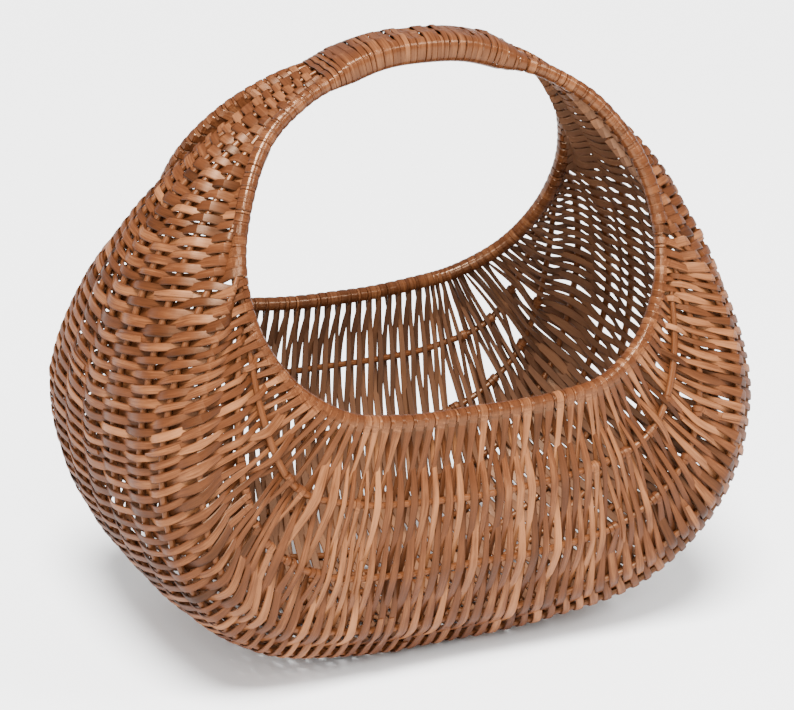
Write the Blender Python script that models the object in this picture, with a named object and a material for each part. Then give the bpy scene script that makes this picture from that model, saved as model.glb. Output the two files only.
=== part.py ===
"""A foraging basket of split willow, woven on bent ribs between two rim hoops.

Units are metres, with +Z up. +X runs along the basket, and the front is at -Y.
The origin is on the floor, under the middle of the base. Every hoop and rib is
a loop that is read by its angle: 0 is the top of the handle, 90 the right end
and 180 the middle of the base. The left half and the back mirror it.
"""

import functools
import math

import bmesh
import bpy
from mathutils import Vector

# Overall size
LENGTH = 0.4454
WIDTH = 0.2414
HEIGHT = 0.4082

# Rods and wrapping
RIB_RADIUS = 0.0025
RIB_TIP_RADIUS = 0.0016
HOOP_RADIUS = 0.0035
WRAP_WALL = 0.0010
WEAVE_THICKNESS = 0.0034
FIT_GAP = 0.0003
WEAVE_GAP = 0.0005

# The binding over the handle
BINDING_HEIGHT = 0.015
BINDING_BORE_HEIGHT = 0.0114
BINDING_WALL = 0.0024
BINDING_ROUND_SHARE = 0.5

# The narrowest strip of weave that is worked between two rods
LEAST_WEAVE_WIDTH = 0.003

# The windows that stand for the gaps between the rows of weave, one to each two facets
LEAST_WINDOW_WIDTH = 0.006
WINDOW_EDGE_SHARE = 0.24
WINDOW_TURN_SHARE = 0.5

# Angles along the loops, in degrees
STATION_ANGLE = 15.0
BINDING_END_ANGLE = 36.0
WRAP_START_ANGLE = 37.2
THICK_RIB_ANGLE = 62.0
RIB_TAPER_ANGLE = 14.0
FIRST_SEARCH_ANGLE = 42.0
LAST_SEARCH_ANGLE = 130.0
SEARCH_STEPS = 720
INNER_RIB_END_ANGLE = 28.0
LEAST_STEP_ANGLE = 1.5

# Facets
ROD_SIDES = 6
WRAP_SIDES = 8
BINDING_SIDES = 16
LOOP_STEPS = 48
SHARP_ANGLE = 50.0

# Loops as shares of the half length, half width and rise, one row each 15 degrees
HOOP_SHARES = (
    (0.000, 0.089, 1.000),
    (0.132, 0.101, 0.996),
    (0.262, 0.123, 0.976),
    (0.405, 0.182, 0.947),
    (0.539, 0.274, 0.896),
    (0.635, 0.428, 0.817),
    (0.680, 0.553, 0.723),
    (0.660, 0.695, 0.625),
    (0.568, 0.824, 0.542),
    (0.421, 0.921, 0.490),
    (0.258, 0.941, 0.474),
    (0.123, 0.933, 0.469),
    (0.000, 0.928, 0.469),
)
KEEL_SHARES = (
    (0.000, 0.000, 1.006),
    (0.135, 0.000, 1.002),
    (0.272, 0.000, 0.984),
    (0.408, 0.000, 0.949),
    (0.544, 0.000, 0.897),
    (0.699, 0.000, 0.827),
    (0.848, 0.000, 0.723),
    (0.955, 0.000, 0.582),
    (1.000, 0.000, 0.405),
    (0.920, 0.000, 0.219),
    (0.680, 0.000, 0.075),
    (0.354, 0.000, 0.000),
    (0.000, 0.000, 0.000),
)
EDGE_RIB_SHARES = (
    (0.000, 0.064, 1.004),
    (0.134, 0.072, 1.000),
    (0.272, 0.093, 0.983),
    (0.403, 0.136, 0.946),
    (0.512, 0.211, 0.887),
    (0.610, 0.337, 0.813),
    (0.732, 0.508, 0.723),
    (0.878, 0.667, 0.593),
    (0.957, 0.801, 0.418),
    (0.880, 0.846, 0.238),
    (0.652, 0.789, 0.101),
    (0.332, 0.669, 0.041),
    (0.000, 0.598, 0.023),
)
CREASE_RIB_SHARES = (
    (0.000, 0.089, 1.000),
    (0.132, 0.101, 0.996),
    (0.262, 0.123, 0.976),
    (0.405, 0.182, 0.947),
    (0.539, 0.274, 0.896),
    (0.635, 0.428, 0.817),
    (0.693, 0.606, 0.723),
    (0.818, 0.802, 0.602),
    (0.877, 0.944, 0.443),
    (0.814, 0.983, 0.273),
    (0.604, 0.890, 0.147),
    (0.303, 0.829, 0.098),
    (0.000, 0.811, 0.092),
)

# How far out from the keel the two ribs beside it lie, as shares of the half width
FIFTH_RIB_SHARES = (
    0.076, 0.074, 0.072, 0.103, 0.153, 0.249, 0.370, 0.502, 0.608, 0.608, 0.549, 0.478, 0.411,
)
SIXTH_RIB_SHARES = (
    0.037, 0.037, 0.037, 0.052, 0.077, 0.136, 0.199, 0.258, 0.297, 0.305, 0.280, 0.241, 0.210,
)

# How far down the wall from the hoop to the crease rib the first two ribs lie
FIRST_RIB_SHARES = (0.0, 0.0, 0.0, 0.0, 0.0, 0.0, 0.0, 0.17, 0.33, 0.43, 0.385, 0.36, 0.36)
SECOND_RIB_SHARES = (0.0, 0.0, 0.0, 0.0, 0.0, 0.0, 0.05, 0.37, 0.59, 0.72, 0.73, 0.705, 0.69)

# How far the front wall bellies out between them, as shares of the half width
BELLY_SHARES = (0.000, 0.000, 0.000, 0.000, 0.000, 0.000, 0.000, 0.000, 0.000, 0.000, 0.050, 0.089, 0.114)

# The section from the keel to the edge rib is this power of the way across it
SECTION_POWER = 3.0

# The ribs under the base settle on the floor by this share of the rise
SETTLE_SHARE = 0.002

# The loops, counted from the rim down to the keel
HOOP = 0
FIRST_RIB = 1
SECOND_RIB = 2
CREASE_RIB = 3
EDGE_RIB = 4
FIFTH_RIB = 5
SIXTH_RIB = 6
KEEL = 7

FLOOR_LEVEL = RIB_RADIUS * math.cos(math.pi / ROD_SIDES)
HALF_LENGTH = LENGTH / 2 - FLOOR_LEVEL
HALF_WIDTH = WIDTH / 2 - RIB_RADIUS
RISE = (HEIGHT - BINDING_HEIGHT / 2 - FLOOR_LEVEL) / (1.0 - SETTLE_SHARE)
LOOP_ANGLE = 360.0 / LOOP_STEPS
WRAP_BORE = (HOOP_RADIUS + FIT_GAP) / math.cos(math.pi / WRAP_SIDES)
WRAP_RADIUS = WRAP_BORE + WRAP_WALL


def clear_scene():
    """Remove what the scene holds."""
    for item in list(bpy.data.objects):
        bpy.data.objects.remove(item, do_unlink=True)


def wood(name, colour, roughness):
    """Make a plain material for one kind of willow."""
    material = bpy.data.materials.new(name)
    material.use_nodes = True
    shader = material.node_tree.nodes["Principled BSDF"]
    shader.inputs["Base Color"].default_value = (*colour, 1.0)
    shader.inputs["Roughness"].default_value = roughness
    shader.inputs["Metallic"].default_value = 0.0
    return material


def station(column, index, odd):
    """One entry of a half loop's column, which mirrors at the handle and at the base."""
    last = len(column) - 1
    sign = -1.0 if odd and (index < 0 or index > last) else 1.0
    if index < 0:
        index = -index
    if index > last:
        index = 2 * last - index
    return sign * column[index]


def read_column(column, angle, odd=False):
    """Read a smooth curve through a column of shares at an angle from 0 to 180."""
    index = min(int(angle / STATION_ANGLE), len(column) - 2)
    t = angle / STATION_ANGLE - index
    before, here, there, after = (station(column, index + k, odd) for k in (-1, 0, 1, 2))
    slope_here = (there - before) / 2
    slope_there = (after - here) / 2
    gain = there - here
    bend = 3 * gain - 2 * slope_here - slope_there
    twist = slope_here + slope_there - 2 * gain
    return here + t * (slope_here + t * (bend + t * twist))


def read_table(table, angle):
    """Read a loop's table at an angle, as a point on the front right quarter."""
    along, out, up = zip(*table)
    return Vector((
        HALF_LENGTH * read_column(along, angle, odd=True),
        -HALF_WIDTH * read_column(out, angle),
        RISE * read_column(up, angle),
    ))


def wall_rib(way_shares, angle):
    """A rib that lies between the hoop and the crease rib, on a wall with a belly."""
    way = read_column(way_shares, angle)
    point = read_table(HOOP_SHARES, angle).lerp(read_table(CREASE_RIB_SHARES, angle), way)
    point.y -= HALF_WIDTH * read_column(BELLY_SHARES, angle)
    return point


def base_rib(out_shares, angle):
    """A rib that lies between the keel and the edge rib, on a rounded section."""
    keel = read_table(KEEL_SHARES, angle)
    edge = read_table(EDGE_RIB_SHARES, angle)
    out = -HALF_WIDTH * read_column(out_shares, angle)
    point = keel.lerp(edge, (out / edge.y) ** SECTION_POWER)
    point.y = out
    return point


def quarter_point(number, angle):
    """The centre of hoop 0, ribs 1 to 6 or keel 7, at an angle from 0 to 180."""
    if number == HOOP:
        return read_table(HOOP_SHARES, angle)
    if number == FIRST_RIB:
        return wall_rib(FIRST_RIB_SHARES, angle)
    if number == SECOND_RIB:
        return wall_rib(SECOND_RIB_SHARES, angle)
    if number == CREASE_RIB:
        return read_table(CREASE_RIB_SHARES, angle)
    if number == EDGE_RIB:
        return read_table(EDGE_RIB_SHARES, angle)
    if number == FIFTH_RIB:
        return base_rib(FIFTH_RIB_SHARES, angle)
    if number == SIXTH_RIB:
        return base_rib(SIXTH_RIB_SHARES, angle)
    return read_table(KEEL_SHARES, angle)


def smooth_point(number, angle, back):
    """The centre of a hoop or rib at any angle of its loop, set on the floor."""
    turn = angle % 360.0
    point = quarter_point(number, min(turn, 360.0 - turn))
    if turn > 180.0:
        point.x = -point.x
    if back:
        point.y = -point.y
    point.z = FLOOR_LEVEL + max(point.z - SETTLE_SHARE * RISE, 0.0)
    return point


def loop_point(number, angle, back=False):
    """A point on the straight facets that every piece along one loop shares."""
    index = math.floor(angle / LOOP_ANGLE)
    here = smooth_point(number, index * LOOP_ANGLE, back)
    there = smooth_point(number, (index + 1) * LOOP_ANGLE, back)
    return here.lerp(there, angle / LOOP_ANGLE - index)


def loop_direction(number, angle, back=False):
    """The direction along a loop, which halves the bend between two facets."""
    half = LOOP_ANGLE / 2
    return (loop_point(number, angle + half, back) - loop_point(number, angle - half, back)).normalized()


def stations(first, last):
    """Angles from first to last, through the corners of the facets between them."""
    between = [k * LOOP_ANGLE for k in range(-LOOP_STEPS, LOOP_STEPS + 1)]
    inner = [angle for angle in between if first + LEAST_STEP_ANGLE < angle < last - LEAST_STEP_ANGLE]
    return [first, *inner, last]


def first_angle(fits):
    """The first angle down the shoulder from which a thing fits, out to the end of the search."""
    step = 360.0 / SEARCH_STEPS
    angle = LAST_SEARCH_ANGLE
    while angle - step > FIRST_SEARCH_ANGLE and fits(angle - step):
        angle -= step
    return angle


@functools.cache
def rib_start(number):
    """The angle at which a rib's thinned end is tucked in beside the hoop."""
    if number > EDGE_RIB:
        return INNER_RIB_END_ANGLE

    def fits(angle):
        tip = loop_point(number, angle)
        free = (tip - loop_point(HOOP, angle)).length >= WRAP_RADIUS + RIB_TIP_RADIUS + 2 * FIT_GAP
        beside = (tip - loop_point(number + 1, angle)).length
        return free and (number < EDGE_RIB or beside >= RIB_RADIUS + RIB_TIP_RADIUS + 2 * FIT_GAP)

    return first_angle(fits)


def rib_radius(number, angle):
    """A rib's radius: thin in the handle or at its tucked end, and full below."""
    turn = min(angle % 360.0, 360.0 - angle % 360.0)
    full_from = THICK_RIB_ANGLE if number > EDGE_RIB else rib_start(number) + RIB_TAPER_ANGLE
    part = min(max((turn - full_from + RIB_TAPER_ANGLE) / RIB_TAPER_ANGLE, 0.0), 1.0)
    return RIB_TIP_RADIUS + (RIB_RADIUS - RIB_TIP_RADIUS) * part


def square_to(vector, along):
    """The part of a vector that is square to a direction, at unit length."""
    return (vector - along * vector.dot(along)).normalized()


def frame_at(point, along):
    """The side of a rod that faces out of the basket, and the side across it."""
    middle = Vector((0.0, point.y, FLOOR_LEVEL + RISE / 2))
    outward = square_to(point - middle, along)
    return outward, along.cross(outward)


def ring(mesh, centre, outward, sideways, radii, sides, power=1.0):
    """Add a ring of vertices with a flat side facing out: a round one, or squarer at a lower power."""
    made = []
    for k in range(sides):
        turn = 2 * math.pi * (k + 0.5) / sides
        reach = math.copysign(abs(math.cos(turn)) ** power, math.cos(turn))
        across = math.copysign(abs(math.sin(turn)) ** power, math.sin(turn))
        made.append(mesh.verts.new(centre + outward * (radii[0] * reach) + sideways * (radii[1] * across)))
    return made


def skin_rings(mesh, rings, closed, flip=False):
    """Join neighbouring rings with faces."""
    pairs = list(zip(rings, rings[1:]))
    if closed:
        pairs.append((rings[-1], rings[0]))
    for lower, upper in pairs:
        for k in range(len(lower)):
            after = (k + 1) % len(lower)
            corners = [lower[k], lower[after], upper[after], upper[k]]
            mesh.faces.new(corners[::-1] if flip else corners)


def finish_piece(name, mesh, material):
    """Turn a bmesh into a named object with its faces pointing out."""
    bmesh.ops.recalc_face_normals(mesh, faces=mesh.faces)
    data = bpy.data.meshes.new(name)
    mesh.to_mesh(data)
    mesh.free()
    data.materials.append(material)
    piece = bpy.data.objects.new(name, data)
    bpy.context.scene.collection.objects.link(piece)
    data.shade_smooth()
    data.set_sharp_from_angle(angle=math.radians(SHARP_ANGLE))
    return piece


def make_rod(name, path, radii, material, closed):
    """A bent rod along a path of points and directions, with its own radius at each."""
    mesh = bmesh.new()
    rings = []
    for (point, along), radius in zip(path, radii):
        outward, sideways = frame_at(point, along)
        rings.append(ring(mesh, point, outward, sideways, (radius, radius), ROD_SIDES))
    skin_rings(mesh, rings, closed)
    if not closed:
        mesh.faces.new(rings[0][::-1])
        mesh.faces.new(rings[-1])
    return finish_piece(name, mesh, material)


def make_sleeve(name, path, bores, outsides, sides, material, power=1.0):
    """A sleeve along a path, open at both ends. Bores and outsides are half heights and half widths."""
    mesh = bmesh.new()
    inner = []
    outer = []
    for (point, along), bore, outside in zip(path, bores, outsides):
        outward, sideways = frame_at(point, along)
        inner.append(ring(mesh, point, outward, sideways, bore, sides, power))
        outer.append(ring(mesh, point, outward, sideways, outside, sides, power))
    skin_rings(mesh, outer, False)
    skin_rings(mesh, inner, False, flip=True)
    for end in (0, -1):
        skin_rings(mesh, [inner[end], outer[end]], False, flip=end == 0)
    return finish_piece(name, mesh, material)


def weave_room(near, near_radius, number, angle, back):
    """The clear width between a rod and the next one, less than nothing where they touch."""
    apart = (loop_point(number, angle, back) - loop_point(near, angle, back)).length
    return apart - near_radius - rib_radius(number, angle) - 2 * WEAVE_GAP


def weave_rod(number, angle, back):
    """The rod a strip of weave starts from: its own, or the wrapped hoop where that is in the way."""
    own = rib_radius(number, angle)
    room = weave_room(number, own, number + 1, angle, back)
    if number <= CREASE_RIB:
        beside_hoop = weave_room(HOOP, WRAP_RADIUS, number + 1, angle, back)
        if number == HOOP or beside_hoop < room:
            return HOOP, WRAP_RADIUS, beside_hoop
    return number, own, room


def weave_edges(number, angle, back):
    """Where a strip of weave starts and stops, from one rod's side to the next rod's."""
    near, radius, _ = weave_rod(number, angle, back)
    start = loop_point(near, angle, back)
    stop = loop_point(number + 1, angle, back)
    across = stop - start
    far_radius = rib_radius(number + 1, angle)
    start += square_to(across, loop_direction(near, angle, back)) * (radius + WEAVE_GAP)
    stop -= square_to(across, loop_direction(number + 1, angle, back)) * (far_radius + WEAVE_GAP)
    return start, stop


def window_stations(number, first, back):
    """The angles at the start, middle and end of each window between two rods."""
    half = WINDOW_TURN_SHARE * LOOP_ANGLE
    angles = []
    for k in range(LOOP_STEPS // 2):
        middle = 2 * k * LOOP_ANGLE
        inside = first + LOOP_ANGLE < middle < 360.0 - first - LOOP_ANGLE
        if inside and weave_rod(number, middle, back)[2] * (1 - 2 * WINDOW_EDGE_SHARE) > LEAST_WINDOW_WIDTH:
            angles += [middle - half, middle, middle + half]
    return angles


def weave_lines(mesh, number, angles, windows, back):
    """The outer and the inner line of vertices across a strip of weave at each angle."""
    edges = [weave_edges(number, angle, back) for angle in angles]
    lines = []
    for k, (start, stop) in enumerate(edges):
        before = edges[max(k - 1, 0)]
        after = edges[min(k + 1, len(edges) - 1)]
        along = (after[0] + after[1] - before[0] - before[1]).normalized()
        normal = along.cross(stop - start).normalized() * (WEAVE_THICKNESS / 2)
        shares = (WINDOW_EDGE_SHARE, 1.0 - WINDOW_EDGE_SHARE) if angles[k] in windows else ()
        points = [start.lerp(stop, share) for share in (0.0, *shares, 1.0)]
        lines.append([[mesh.verts.new(point + side) for point in points] for side in (normal, -normal)])
    return lines


def skin_weave(mesh, lines):
    """Join neighbouring lines across a strip of weave, with a window between two lines of four."""
    for (outer, inner), (outer_next, inner_next) in zip(lines, lines[1:]):
        if len(outer) == len(outer_next) == 4:
            for near, far in ((0, 1), (2, 3)):
                lower = [outer[near], outer[far], inner[far], inner[near]]
                upper = [outer_next[near], outer_next[far], inner_next[far], inner_next[near]]
                skin_rings(mesh, [lower, upper], False)
            continue
        mesh.faces.new(outer + outer_next[::-1])
        mesh.faces.new(inner_next + inner[::-1])
        for edge in (0, -1):
            mesh.faces.new([outer[edge], outer_next[edge], inner_next[edge], inner[edge]])
        for across, below in ((outer, inner), (outer_next, inner_next)):
            if len(across) == 4:
                mesh.faces.new([across[1], across[2], below[2], below[1]])
    for outer, inner in (lines[0], lines[-1]):
        mesh.faces.new(outer + inner[::-1])


def make_weave(name, number, back, material):
    """A strip of the woven wall between two rods, with windows, from the left shoulder to the right one."""
    first = first_angle(lambda angle: weave_rod(number, angle, back)[2] >= LEAST_WEAVE_WIDTH)
    first = max(first, rib_start(number + 1) if number + 1 < KEEL else first)
    windows = window_stations(number, first, back)
    angles = sorted({*stations(first, 360.0 - first), *windows})
    mesh = bmesh.new()
    skin_weave(mesh, weave_lines(mesh, number, angles, windows, back))
    return finish_piece(name, mesh, material)


def rod_path(number, angles, back):
    """The points and directions of a hoop or rib at some angles."""
    return [(loop_point(number, angle, back), loop_direction(number, angle, back)) for angle in angles]


def make_hoops(rod, skein):
    """Both rim hoops, each a closed rod in a wrapped sleeve that leaves the handle free."""
    for back, side in ((False, "front"), (True, "back")):
        angles = stations(0.0, 360.0)[:-1]
        make_rod(side + "_rim_hoop", rod_path(HOOP, angles, back), [HOOP_RADIUS] * len(angles), rod, True)
        angles = stations(WRAP_START_ANGLE, 360.0 - WRAP_START_ANGLE)
        bores = [(WRAP_BORE, WRAP_BORE)] * len(angles)
        outsides = [(WRAP_RADIUS, WRAP_RADIUS)] * len(angles)
        make_sleeve(side + "_rim_wrap", rod_path(HOOP, angles, back), bores, outsides, WRAP_SIDES, skein)


def make_rib(name, number, back, material):
    """One rib: a closed loop through the handle, or a bow that ends at both shoulders."""
    closed = number > FIFTH_RIB
    if closed:
        angles = stations(0.0, 360.0)[:-1]
    else:
        start = rib_start(number)
        angles = stations(start, 360.0 - start)
    radii = [rib_radius(number, angle) for angle in angles]
    return make_rod(name, rod_path(number, angles, back), radii, material, closed)


def make_binding(material):
    """The skein binding that holds the hoops and rib ends together over the handle."""
    path = []
    bores = []
    outsides = []
    for angle in stations(-BINDING_END_ANGLE, BINDING_END_ANGLE):
        hoop = loop_point(HOOP, angle)
        along = loop_direction(HOOP, angle)
        bore_width = HOOP_RADIUS + FIT_GAP - hoop.y
        path.append((Vector((hoop.x, 0.0, hoop.z)), Vector((along.x, 0.0, along.z)).normalized()))
        bores.append((BINDING_BORE_HEIGHT / 2, bore_width))
        outsides.append((BINDING_HEIGHT / 2, bore_width + BINDING_WALL))
    make_sleeve("handle_binding", path, bores, outsides, BINDING_SIDES, material, BINDING_ROUND_SHARE)


def build_basket():
    """Build every piece of the basket."""
    rod = wood("willow_rod", (0.36, 0.19, 0.10), 0.55)
    strip = wood("willow_strip", (0.33, 0.16, 0.085), 0.60)
    skein = wood("willow_skein", (0.38, 0.18, 0.09), 0.45)
    make_hoops(rod, skein)
    make_rib("keel_rib", KEEL, False, rod)
    for back, side in ((False, "front"), (True, "back")):
        for number in range(1, KEEL):
            make_rib(f"{side}_rib_{number}", number, back, rod)
        for number in range(HOOP, KEEL):
            make_weave(f"{side}_weave_{number + 1}", number, back, strip)
    make_binding(skein)


clear_scene()
build_basket()
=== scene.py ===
"""The looks of a split-willow foraging basket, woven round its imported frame.

Units are metres, in the frame's axes. Hoops and ribs are loops that are read by
their angle, as in the solids: 0 is the top of the handle, 90 the right end and
180 the middle of the base. A row of weave runs from hoop to hoop across the rods,
which are counted from the front hoop, 0, past the keel, 7, to the back hoop, 14.
"""

import math

import bpy
import numpy as np
from mathutils import Matrix, Vector


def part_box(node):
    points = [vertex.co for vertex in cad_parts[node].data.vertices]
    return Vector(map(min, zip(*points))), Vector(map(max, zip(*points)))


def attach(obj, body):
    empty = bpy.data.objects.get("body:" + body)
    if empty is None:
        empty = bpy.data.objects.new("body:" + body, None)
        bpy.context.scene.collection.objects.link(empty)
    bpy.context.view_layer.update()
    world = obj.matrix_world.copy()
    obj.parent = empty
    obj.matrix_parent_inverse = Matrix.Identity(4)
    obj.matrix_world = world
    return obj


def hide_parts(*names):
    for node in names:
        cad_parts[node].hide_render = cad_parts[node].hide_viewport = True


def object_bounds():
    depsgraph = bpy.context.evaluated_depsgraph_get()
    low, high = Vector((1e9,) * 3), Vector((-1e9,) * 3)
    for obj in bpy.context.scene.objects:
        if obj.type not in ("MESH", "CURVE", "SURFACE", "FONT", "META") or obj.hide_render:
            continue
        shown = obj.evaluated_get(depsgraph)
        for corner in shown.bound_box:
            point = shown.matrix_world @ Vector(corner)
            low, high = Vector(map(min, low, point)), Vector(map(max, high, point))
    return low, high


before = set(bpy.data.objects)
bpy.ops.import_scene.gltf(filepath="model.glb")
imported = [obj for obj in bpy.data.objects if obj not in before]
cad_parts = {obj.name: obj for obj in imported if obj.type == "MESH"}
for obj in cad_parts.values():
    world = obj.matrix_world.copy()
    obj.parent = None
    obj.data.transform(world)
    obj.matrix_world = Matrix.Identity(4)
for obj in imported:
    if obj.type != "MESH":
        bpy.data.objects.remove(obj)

cad_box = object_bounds()

SEED = 7

# Rods, which are thinner than their radius by the clearance, so that no strip touches them
RIB_RADIUS = 0.0025
TIP_RADIUS = 0.0016
WALL_RIB_RADIUS = 0.0024
HOOP_RADIUS = 0.0039
CLEARANCE = 0.0001
SOLID_ROD_SIDES = 6
ROD_SIDES = 12
ROD_STEP = 1.5
ROD_TONE = 0.45
ROD_TONE_CHANGE = 0.05

# Ribs are thin where they start, and thicken over the taper. The inner three run on into the handle
TAPER_ANGLE = 14.0
INNER_TAPER_START = 48.0

# How far past a rib's start the rows begin to cross it
CROSSING_MARGIN = 1.0

# Above this angle the rows pass the sixth ribs by, which lie under the weave there
PASSED_RIB_ANGLE = 62.0
PASSED_RIB_BLEND = 4.0
RIB_SINK = 0.0028

# Strips
STRIP_THICKNESS = 0.0012
LEAST_WIDTH = 0.0032
MOST_WIDTH = 0.0086
STRIP_ACROSS = np.array([0.5, 0.41, 0.0, -0.41, -0.5, -0.41, 0.0, 0.41])
STRIP_HEIGHT = np.array([0.05, 0.44, 0.56, 0.44, 0.05, -0.40, -0.44, -0.40])
SHARP_ANGLE = math.radians(27.0)
SECTION_LENGTH = 0.0045
LEAST_SECTIONS = 4
MOST_SECTIONS = 11

# What is added to the place across a strip on its pith side, and the least value that tells it
UNDER_MARK = 3.0
UNDER_LIMIT = 2.45

# Turns of a strip round its last rod
WRAP_WIDTH = 0.0059
RIB_WRAP_WIDTH = 0.0042
LEAST_WRAP_WIDTH = 0.0016
WRAP_LAP = 0.0004
WRAP_TURN = 212.0
WRAP_SECTIONS = 8
WRAP_SPREAD = 0.07
WRAP_FULLNESS = 0.98
SWING_ANGLES = (134.0, 150.0)
SWING_SHARE = 0.25

# Widths of strips outside and inside a rod, as shares of the distance from row to row, and what
# changes them on the ends: low down, on the arms, below the shoulders, at the shoulders and in the fans
WALL_OUTSIDE = 1.30
WALL_INSIDE = 0.98
END_OUTSIDE = 1.34
END_INSIDE = 1.60
LOW_OUTSIDE_LOSS = 0.20
LOW_INSIDE_LOSS = 0.24
ARM_GAIN = 0.35
BODY_LOSS = 0.24
SHOULDER_GAIN = 0.50
FAN_OUTSIDE_GAIN = 0.20
FAN_INSIDE_GAIN = 0.35
LOW_ANGLES = (104.0, 124.0)
ARM_ANGLES = (56.0, 68.0)
BODY_ANGLES = (84.0, 100.0)
SHOULDER_ANGLES = (88.0, 96.0)
FAN_START_ANGLES = (108.0, 114.0)
WIDTH_SPREAD = 0.10

# How much strips narrow between two rods: on the walls, on the ends, and next to a hoop that they pass
# outside or inside, below these angles
WALL_PINCH = 0.14
END_PINCH = 0.06
OUTER_RIM_PINCH = 0.10
INNER_RIM_PINCH = 0.28
RIM_PINCH_ANGLES = (120.0, 130.0)

# How a strip goes from outside one rod to inside the next: the share of a rounded way, on the walls and
# the ends, the straight share of its course on the walls, and where it takes on its width beside a wrap
WALL_BEND_SHARE = 0.40
END_BEND_SHARE = 0.85
STRAIGHT_SHARE = 0.20
WRAP_SHARES = (0.05, 0.45)

# Tones, from 0 for dark to 1 for pale
MIDDLE_TONE = 0.50
TONE_SPREAD = 0.14
PALE_SHARE = 0.06
PALE_TONE = 0.20
DARK_SHARE = 0.05
DARK_TONE = 0.16
LEAST_TONE = 0.15
MOST_TONE = 0.95
WRAP_TONE = 0.48
WRAP_TONE_SHARE = 0.5

# Loose ends of new strips, laid on old ones. Lengths across are shares of the old strip's
SPLICE_SHARE = 0.14
SPLICE_LEAST_RODS = 10
SPLICE_REACH = 3
SPLICE_LIFT = 0.0022
SPLICE_LEAST_LIFT = 0.2
SPLICE_SHIFT = 0.18
SPLICE_WIDTH = 0.72
SPLICE_TAPER = 0.40
SPLICE_THICKNESS = 0.6
SPLICE_SEAT = 0.75
SPLICE_TONE = 0.15

# Rows of weave: the distance from row to row on the fifth rib at some angles, and how far a row strays
PITCH_ANGLES = (36.0, 60.0, 66.0, 91.0, 94.0, 98.0, 102.0, 118.0, 123.0, 180.0)
ROW_PITCHES = (0.0035, 0.0036, 0.0042, 0.0042, 0.0056, 0.0056, 0.0043, 0.0044, 0.0052, 0.0053)
FIRST_ROW_ANGLE = 36.4
WALL_DRIFT = 0.0007
END_DRIFT = 0.0004

# Rows that cross the crease rib at these angles, right and left, meet the hoop and the first two ribs
# at the ones below
FAN_ANGLES = ((107.0, 125.0, 143.0, 160.5, 180.0), (107.0, 118.0, 131.0, 143.0, 151.5, 160.5, 180.0))
FAN_ROD_ANGLES = (
    (
        (107.0, 124.0, 135.0, 143.0, 180.0),
        (107.0, 126.0, 139.5, 152.0, 180.0),
        (107.0, 126.5, 141.5, 157.0, 180.0),
    ),
    (
        (107.0, 121.8, 130.0, 133.4, 137.0, 143.0, 180.0),
        (107.0, 120.6, 130.8, 138.0, 145.0, 152.0, 180.0),
        (107.0, 119.8, 130.6, 139.0, 149.5, 157.0, 180.0),
    ),
)

# The rod that each pair of rows turns back round, in turn, between two angles on the right and the left
TURNS = (
    ((125.0, 160.5, (0, 2, 0, 1, 0)),),
    ((118.0, 131.0, (0, 2, 0)), (131.0, 143.0, (2, 1, 0)), (143.0, 151.5, (0, 2)), (151.5, 160.5, (0, 0, 1))),
)

# Rows hang lower from rib to rib towards the keel, most between the middle two of these angles
HANG_STEP = 1.1
HANG_ANGLES = (50.0, 74.0, 112.0, 150.0)

# Above this angle all but every sixth row pass inside the first ribs
BARE_RIB_ANGLE = 138.0
BARE_RIB_ROWS = 6

# The skein wound round the handle: where it ends, the widths of its turns and its rounded section
HANDLE_END = 36.0
HANDLE_WIDTHS = (0.0026, 0.0068)
HANDLE_SIDES = 40
HANDLE_TAPER_ANGLE = 8.0
HANDLE_HALF_HEIGHT = 0.0056
HANDLE_SWELL = 0.0037
HANDLE_RISE = 0.0007
HANDLE_SIDE_WALL = 0.0016
HANDLE_ROUNDNESS = 0.6
HANDLE_LAP = 1.03
HANDLE_TONE_SPREAD = 0.05
SKEIN_THICKNESS = 0.0011
SKEIN_SWAY = 0.0004

# Where the skein is woven over and under the two ribs on top of the handle
RIPPLE_HEIGHT = 0.0012
RIPPLE_PLACE = 0.0070
RIPPLE_WIDTH = 0.0030
TOP_LIMIT = 0.05

STATION_STEP = 15.0

# Loops as shares of the half length, half width and rise, one row each 15 degrees
HOOP_SHARES = (
    (0.000, 0.089, 1.000),
    (0.132, 0.101, 0.996),
    (0.262, 0.123, 0.976),
    (0.405, 0.182, 0.947),
    (0.539, 0.274, 0.896),
    (0.635, 0.428, 0.817),
    (0.680, 0.553, 0.723),
    (0.660, 0.695, 0.625),
    (0.568, 0.824, 0.542),
    (0.421, 0.921, 0.490),
    (0.258, 0.941, 0.474),
    (0.123, 0.933, 0.469),
    (0.000, 0.928, 0.469),
)
KEEL_SHARES = (
    (0.000, 0.000, 1.006),
    (0.135, 0.000, 1.002),
    (0.272, 0.000, 0.984),
    (0.408, 0.000, 0.949),
    (0.544, 0.000, 0.897),
    (0.699, 0.000, 0.827),
    (0.848, 0.000, 0.723),
    (0.955, 0.000, 0.582),
    (1.000, 0.000, 0.405),
    (0.920, 0.000, 0.219),
    (0.680, 0.000, 0.075),
    (0.354, 0.000, 0.000),
    (0.000, 0.000, 0.000),
)
EDGE_RIB_SHARES = (
    (0.000, 0.064, 1.004),
    (0.134, 0.072, 1.000),
    (0.272, 0.093, 0.983),
    (0.403, 0.136, 0.946),
    (0.512, 0.211, 0.887),
    (0.610, 0.337, 0.813),
    (0.732, 0.508, 0.723),
    (0.878, 0.667, 0.593),
    (0.957, 0.801, 0.418),
    (0.880, 0.846, 0.238),
    (0.652, 0.789, 0.101),
    (0.332, 0.669, 0.041),
    (0.000, 0.598, 0.023),
)
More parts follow.
